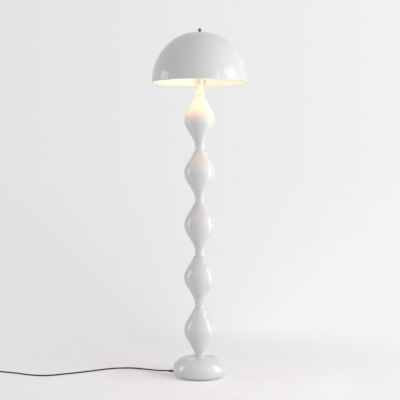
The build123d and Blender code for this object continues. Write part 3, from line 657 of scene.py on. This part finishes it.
# %% Ring stacks
def ring_stack(rings, sides, hollow=False):
    """Vertices and faces; a ring is a height and a radius, or a rule from angle to radius."""
    vertices = []
    for height, radius in rings:
        for side in range(sides):
            turn = 2 * pi * side / sides
            reach = radius(turn) if callable(radius) else radius
            vertices.append((reach * cos(turn), reach * sin(turn), height))
    count = len(rings)
    faces = []
    for ring in range(count if hollow else count - 1):
        low, high = ring * sides, (ring + 1) % count * sides
        for side in range(sides):
            after = (side + 1) % sides
            faces.append((low + side, low + after, high + after, high + side))
    if not hollow:
        faces += [tuple(reversed(range(sides))),
                  tuple(range((count - 1) * sides, count * sides))]
    return vertices, faces


def thread_rings(low, high, crest, root, pitch, rows_per_pitch):
    """Rings of a screw thread that runs out to its root at both ends."""
    rows = round((high - low) / pitch * rows_per_pitch)
    rings = []
    for row in range(rows + 1):
        height = low + (high - low) * row / rows
        depth = (crest - root) * min(1, (height - low) / pitch, (high - height) / pitch)
        rings.append((height, lambda turn, height=height, depth=depth:
                      root + depth * (0.5 + 0.5 * cos(2 * pi * height / pitch - turn))))
    return rings


print("a plain tube of two rings has", len(ring_stack([(0, 1), (1, 1)], 8)[1]), "faces")

# %% [markdown]
# ## Threaded stud on the harp
# The shade rests on a small round pad, and the finial screws on the stud above it. The stud is
# cut with the fine thread that lamp fittings share. A bump could suggest the thread, but it
# shows in outline when the shade is lifted, so it is real geometry on its chamfered pad.

# %% Harp stud
STUD_CREST, STUD_ROOT, STUD_PITCH = 0.0031, 0.00272, 0.00094      # 27 threads to the inch
PAD_RADIUS, PAD_HEIGHT, PAD_CHAMFER = 0.009, 0.005, 0.0005

foot, tip = lowest_highest("harp_stud")
pad_top = foot + PAD_HEIGHT
stud_rings = [(foot, PAD_RADIUS - PAD_CHAMFER), (foot + PAD_CHAMFER, PAD_RADIUS),
              (pad_top - PAD_CHAMFER, PAD_RADIUS), (pad_top, PAD_RADIUS - PAD_CHAMFER)]
stud_rings += thread_rings(pad_top, tip - PAD_CHAMFER, STUD_CREST, STUD_ROOT, STUD_PITCH,
                           rows_per_pitch=6)
stud_rings.append((tip, STUD_ROOT - PAD_CHAMFER))
harp_thread = new_piece("harp_thread", *ring_stack(stud_rings, sides=40), like("harp_stud"),
                        "stand", "harp_nickel")
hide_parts("harp_stud")

# %% [markdown]
# ## Rolled thread of the bulb
# The cap of a bulb is thin sheet, rolled into a coarse round thread, with a plain band where
# the glass is cemented in. It could be a solid plug, but the cap is open at both ends, so the
# stack of rings runs up its outside and back down inside, and closes on itself.

# %% Bulb cap
CAP_CREST, CAP_ROOT, CAP_PITCH = 0.01305, 0.01215, 0.00363        # 7 threads to the inch
CAP_WALL = 0.0005
CAP_BAND = 0.0045           # the plain band above the thread

cap_foot, cap_top = lowest_highest("bulb_cap")
thread_top = cap_top - CAP_BAND
cap_rings = [(cap_foot, CAP_ROOT - 2 * CAP_WALL), (cap_foot, CAP_ROOT - CAP_WALL)]
cap_rings += thread_rings(cap_foot + CAP_WALL, thread_top, CAP_CREST, CAP_ROOT, CAP_PITCH,
                          rows_per_pitch=10)
cap_rings += [(thread_top + CAP_WALL, CAP_CREST), (cap_top, CAP_CREST),
              (cap_top, CAP_CREST - CAP_WALL), (thread_top + CAP_WALL, CAP_CREST - CAP_WALL),
              (thread_top, CAP_ROOT - CAP_WALL),
              (cap_foot + CAP_WALL, CAP_ROOT - CAP_WALL),
              (cap_foot + CAP_WALL, CAP_ROOT - 2 * CAP_WALL)]
bulb_thread = new_piece("bulb_thread", *ring_stack(cap_rings, sides=64, hollow=True),
                        like("bulb_cap"), "bulb", "bulb_nickel")
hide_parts("bulb_cap")

# %% [markdown]
# ## Rolled beads of the lampholder
# The holder's shell is stiffened by a bead rolled near each end, where the sheet is thin. A
# torus could be dropped on each. A hollow stack of rings is one too, and its height follows
# from the ends of the cap and the shell.

# %% Beads
SHELL_RADIUS = 0.01745
BEAD_RADIUS = 0.0006
BEAD_INSET = 0.0018         # from the shell's edge to the bead's middle
BEAD_SIDES = 10

for name, height in zip(("shell_bead_low", "shell_bead_high"),
                        (lowest_highest("socket_cap")[1] + BEAD_INSET,
                         lowest_highest("socket_shell")[1] - BEAD_INSET)):
    bead = [(height + BEAD_RADIUS * sin(turn), SHELL_RADIUS + BEAD_RADIUS * cos(turn))
            for turn in (2 * pi * step / BEAD_SIDES for step in range(BEAD_SIDES))]
    new_piece(name, *ring_stack(bead, sides=64, hollow=True), like("socket_shell"), "stand",
              "holder_nickel")

# %% [markdown]
# ## Grip ribs
# The switch's paddle is moulded with ribs on both faces, so that it can be turned by feel. They
# could be boxes, but a moulded rib is round and has no hard end. A tube that thins out at both
# ends seems to grow out of the paddle, and it follows the paddle's slight taper.

# %% Ribs
RIB_RADIUS = 0.00045
RIB_STEP = 0.0024
RIB_NUMBERS = (-2, -1, 0, 1, 2)             # counted from the paddle's middle
RIB_SHARES = (0.12, 0.25, 0.8, 0.93)        # of the paddle's length, at a rib's four points
RIB_SWELLS = (0.1, 1, 1, 0.1)               # of the rib's radius, at the same points
PADDLE_START, PADDLE_END = 0.02745, 0.03945
PADDLE_HALF, PADDLE_DRAFT = 0.0025, radians(4)

spindle_height = sum(lowest_highest("switch_spindle")) / 2
rib_curve = new_tube("knob_ribs", section_steps=3, length_steps=4)
for face in (-1, 1):
    for number in RIB_NUMBERS:
        places = []
        for share in RIB_SHARES:
            y = PADDLE_START + (PADDLE_END - PADDLE_START) * share
            rise = PADDLE_HALF - (y - PADDLE_START) * tan(PADDLE_DRAFT)
            places.append((number * RIB_STEP, y, spindle_height + face * rise))
        add_line(rib_curve, places, [RIB_RADIUS * swell for swell in RIB_SWELLS])
rib_curve.materials.append(like("switch_knob"))
knob_ribs = new_object("knob_ribs", rib_curve)
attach(knob_ribs, "switch")
print(len(rib_curve.splines), "grip ribs at", round(spindle_height, 4))

# %% [markdown]
# ## Grub screw
# A slotted grub screw at the back of the lampholder's neck keeps it from turning on the tube.
# The slot could be cut from a disc, but a cut leaves uneven faces. A full disc with two half
# discs on it leaves the slot open between them, and every face stays clean.

# %% Screw
SCREW_RADIUS, SCREW_SLOT = 0.0018, 0.0006
SCREW_FOOT, SLOT_FLOOR, SCREW_FACE = -0.0015, 0.0003, 0.0008      # measured out of the neck
SCREW_SIDES = 32
NECK_BACK = 0.011
SCREW_RISE = 0.003          # above the foot of the lampholder's cap


def prism(outline, low, high, place):
    """Vertices and faces of an outline with a thickness; place turns its points into metres."""
    count = len(outline)
    vertices = [place(x, y, level) for level in (low, high) for x, y in outline]
    faces = [tuple(reversed(range(count))), tuple(range(count, 2 * count))]
    faces += [(i, (i + 1) % count, count + (i + 1) % count, count + i) for i in range(count)]
    return vertices, faces


neck_height = lowest_highest("socket_cap")[0] + SCREW_RISE


def on_neck(x, y, level):
    """A place on the back of the neck, seen from behind."""
    return -x, NECK_BACK + level, neck_height + y


disc = [(SCREW_RADIUS * cos(turn), SCREW_RADIUS * sin(turn))
        for turn in (2 * pi * step / SCREW_SIDES for step in range(SCREW_SIDES))]
upper, lower = [[(x, y) for x, y in disc if y * side > SCREW_SLOT / 2] for side in (1, -1)]
for name, outline, low, high in (("grub_screw", disc, SCREW_FOOT, SLOT_FLOOR),
                                 ("grub_screw_upper", upper, SLOT_FLOOR, SCREW_FACE),
                                 ("grub_screw_lower", lower, SLOT_FLOOR, SCREW_FACE)):
    new_piece(name, *prism(outline, low, high, on_neck), like("socket_cap"), "stand",
              "holder_nickel")

# %% [markdown]
# ## Loose end of the band
# The band round the coil ends in a short tab with a rounded end, pressed down on itself. A
# subdivided strip would also give it, but it lies flat, so an outline with a thickness is
# enough. It sinks in by a tenth of a millimetre, so that no gap shows under it.

# %% Band end
BAND_TOP, BAND_HALF_WIDTH = 0.0153, 0.004
TAB_LENGTH, TAB_THICKNESS, TAB_SINK = 0.0145, 0.0007, 0.0001
TAB_STEPS = 12              # round its end
BAND_SWEEP = 3 * pi / 2     # from where the cord enters the coil to the band
BAND_TURNS_IN = 1.75        # turns in from the outermost to the band's middle

band_outward = toward(entry_angle + BAND_SWEEP)
band_along = Vector((0, 0, 1)).cross(band_outward)
band_middle = coil_centre + band_outward * (OUTER_TURN - TURN_STEP * BAND_TURNS_IN)


def on_band(x, y, level):
    """A place on top of the band round the coil."""
    spot = band_middle + band_outward * x + band_along * y
    return spot.x, spot.y, BAND_TOP + level


round_end = [(TAB_LENGTH / 2 - BAND_HALF_WIDTH + BAND_HALF_WIDTH * cos(turn),
              BAND_HALF_WIDTH * sin(turn))
             for turn in (pi * step / TAB_STEPS - pi / 2 for step in range(TAB_STEPS + 1))]
tab = [(-TAB_LENGTH / 2, -BAND_HALF_WIDTH)] + round_end + [(-TAB_LENGTH / 2, BAND_HALF_WIDTH)]
new_piece("band_end", *prism(tab, -TAB_SINK, TAB_THICKNESS, on_band), like("cord_tie"), "stand",
          "black_plastic")

# %% [markdown]
# ## Background
# The lamp stands before plain pale paper, a little darker on the left. A bright wall would
# light the lamp too, and wash out its shading. The world can instead show one brightness to
# the camera, the gloss and the glass, and give another, weaker one as light.

# %% Background
WORLD_LIGHT = 0.355
BACKGROUND = (0.75, 0.90)           # brightness towards the left and towards the right
BACKGROUND_TURN = (-0.25, 0.25)     # over this range of the direction's sideways share


def background_level(tree, direction):
    """Brightness of the background in a horizontal direction."""
    side = add_node(tree, "SeparateXYZ", {"Vector": direction}).outputs["X"]
    return add_node(tree, "MapRange", {
        "Value": side, "From Min": BACKGROUND_TURN[0], "From Max": BACKGROUND_TURN[1],
        "To Min": BACKGROUND[0], "To Max": BACKGROUND[1]}).outputs["Result"]


def seen_directly(tree):
    """1 for what the camera sees itself, or mirrored in gloss, or through glass."""
    path = add_node(tree, "LightPath")
    gloss = add_node(tree, "Math", {0: path.outputs["Is Camera Ray"],
                                    1: path.outputs["Is Glossy Ray"]}, operation="MAXIMUM")
    return add_node(tree, "Math", {0: gloss.outputs["Value"],
                                   1: path.outputs["Is Transmission Ray"]},
                    operation="MAXIMUM").outputs["Value"]


world = bpy.data.worlds.new("studio")
bpy.context.scene.world = world
world.use_nodes = True
sky = world.node_tree
sky.nodes.clear()
direction = add_node(sky, "TexCoord").outputs["Generated"]
backdrop = add_node(sky, "Background", {"Color": background_level(sky, direction)})
ambient = add_node(sky, "Background", {"Color": linear("#FFFFFF"), "Strength": WORLD_LIGHT})
shown = add_node(sky, "MixShader", {0: seen_directly(sky), 1: ambient.outputs["Background"],
                                    2: backdrop.outputs["Background"]})
add_node(sky, "OutputWorld", {"Surface": shown.outputs["Shader"]})
print("background", BACKGROUND)

# %% [markdown]
# ## Floor
# A studio's paper curves up behind the object, with no edge. A curved sheet would have to be
# turned to face each view. A flat floor that turns into plain background further out has no
# edge from any side. Near the lamp it is real and takes its shadow, and a little plain light,
# which only the camera and the gloss see, makes it as pale as the paper.

# %% Floor
FLOOR_REACH = 60.0
FLOOR_FADE = (0.4, 1.6)     # metres from the lamp, from real floor to plain background
FLOOR_LIFT = 0.18           # plain light that is added to the real floor where it is seen


def floor_paint():
    """Matt and nearly white by the lamp, plain background further out."""
    finish, tree, shader = new_finish("floor_paint_matt", {
        "Roughness": 0.9, "IOR": 1.45, "Base Color": linear("#F2F2F2")})
    places = lamp_coordinates(tree)
    seen = seen_directly(tree)
    lift = add_node(tree, "Math", {0: seen, 1: FLOOR_LIFT}, operation="MULTIPLY")
    glow = add_node(tree, "Emission", {"Strength": lift.outputs["Value"]})
    real = add_node(tree, "AddShader", {0: shader.outputs["BSDF"], 1: glow.outputs["Emission"]})
    far = add_node(tree, "VectorMath", {0: places}, operation="NORMALIZE").outputs["Vector"]
    plain = add_node(tree, "Emission", {"Color": background_level(tree, far)})
    distance = add_node(tree, "VectorMath", {0: places}, operation="LENGTH").outputs["Value"]
    fade = add_node(tree, "MapRange", {"Value": distance, "From Min": FLOOR_FADE[0],
                                       "From Max": FLOOR_FADE[1]},
                    interpolation_type="SMOOTHSTEP")
    share = add_node(tree, "Math", {0: fade.outputs["Result"], 1: seen}, operation="MULTIPLY")
    mixed = add_node(tree, "MixShader", {0: share.outputs["Value"], 1: real.outputs["Shader"],
                                         2: plain.outputs["Emission"]})
    tree.links.new(mixed.outputs["Shader"], tree.nodes["Material Output"].inputs["Surface"])
    return finish


floor_mesh = bpy.data.meshes.new("floor")
corners = [(x * FLOOR_REACH, y * FLOOR_REACH, 0)
           for x, y in ((-1, -1), (1, -1), (1, 1), (-1, 1))]
floor_mesh.from_pydata(corners, [], [(0, 1, 2, 3)])
floor_mesh.materials.append(floor_paint())
floor = new_object("floor", floor_mesh)
print("floor", FLOOR_REACH * 2, "m wide")

# %% [markdown]
# ## Lamps
# A broad key on the right with a fill beside it gives the lamp its round shading, and a weak
# one on the ceiling opens the shadows. One lamp could be both light and reflection, but then
# its square outline shows in the gloss. So those three aren't mirrored, and tall windows
# that the gloss shows stand where the highlights need them: a wide and a narrow one on the
# right, which give no light, and one on the left that gives a little. Two low strips near the
# base put a glint on each side of the stem and stay too low for the shade to mirror them.
# Where a window stands follows from its mirror image: a spot in the gloss, turned by some
# angle from the camera, shows what stands at twice that angle.

# %% Lamps
def area_lamp(name, size, radiance, location, rotation, mirrored, lights=True):
    """A rectangular lamp that looks as bright as its radiance says, whatever its size."""
    lamp = bpy.data.lights.new(name, "AREA")
    lamp.shape = "RECTANGLE"
    lamp.size, lamp.size_y = size
    lamp.energy = radiance * pi * size[0] * size[1]
    box = new_object(name, lamp)
    box.location, box.rotation_euler = location, rotation
    box.visible_camera = False
    box.visible_glossy = mirrored
    box.visible_diffuse = lights


def softbox(name, azimuth, bottom_top, distance, width, radiance, mirrored=True, lights=True):
    """An upright lamp facing the stem; azimuth 0 is at the camera and 90 on the right."""
    low, high = bottom_top
    turn = radians(azimuth)
    area_lamp(name, (width, high - low), radiance,
              (distance * sin(turn), -distance * cos(turn), (low + high) / 2),
              (pi / 2, 0, turn), mirrored, lights)


area_lamp("ceiling", size=(3.0, 3.0), radiance=0.72, location=(1.6, -0.9, 4.5),
          rotation=(0, 0, 0), mirrored=False)
# azimuth in degrees, heights of foot and top, distance and width in metres, radiance
softbox("key_right", 52, (0.0, 4.6), 5.0, 2.6, 2.85, mirrored=False)
softbox("fill_right", 77, (0.0, 2.4), 2.8, 1.65, 1.75, mirrored=False)
softbox("window_right", 78, (0.1, 2.6), 2.8, 1.65, 2.3, lights=False)
softbox("window_narrow", 43.5, (0.4, 2.26), 2.8, 0.43, 2.8, lights=False)
softbox("window_left", -90.5, (0.4, 2.22), 2.8, 1.25, 2.3)
softbox("strip_right", 83, (0.02, 1.1), 0.7, 0.26, 3.0, lights=False)
softbox("strip_left", -85, (0.02, 1.1), 0.7, 0.2, 1.5, lights=False)
bpy.context.scene.view_settings.view_transform = "Standard"
print(len(bpy.data.lights), "lamps")

# %% [markdown]
# ## Glow of the shade's mouth
# Light leaves the shade only after many bounces on its white inside, warmer each time, and
# spills down the stem. Tracing enough bounces is slow. A disc lamp as wide as the mouth, which
# neither the camera nor the gloss sees, gives the same soft warm spill.

# %% Mouth glow
MOUTH_HEIGHT = 1.352
MOUTH_WIDTH = 0.40
MOUTH_POWER = 0.88
MOUTH_COLOUR = "#FFA454"

mouth = bpy.data.lights.new("shade_mouth", "AREA")
mouth.shape = "DISK"
mouth.size = MOUTH_WIDTH
mouth.energy = MOUTH_POWER
mouth.color = linear(MOUTH_COLOUR)[:3]
mouth_glow = new_object("shade_mouth", mouth)
mouth_glow.location = (0, 0, MOUTH_HEIGHT)
mouth_glow.visible_camera = False
mouth_glow.visible_glossy = False
print("mouth glow at", MOUTH_HEIGHT, "m")
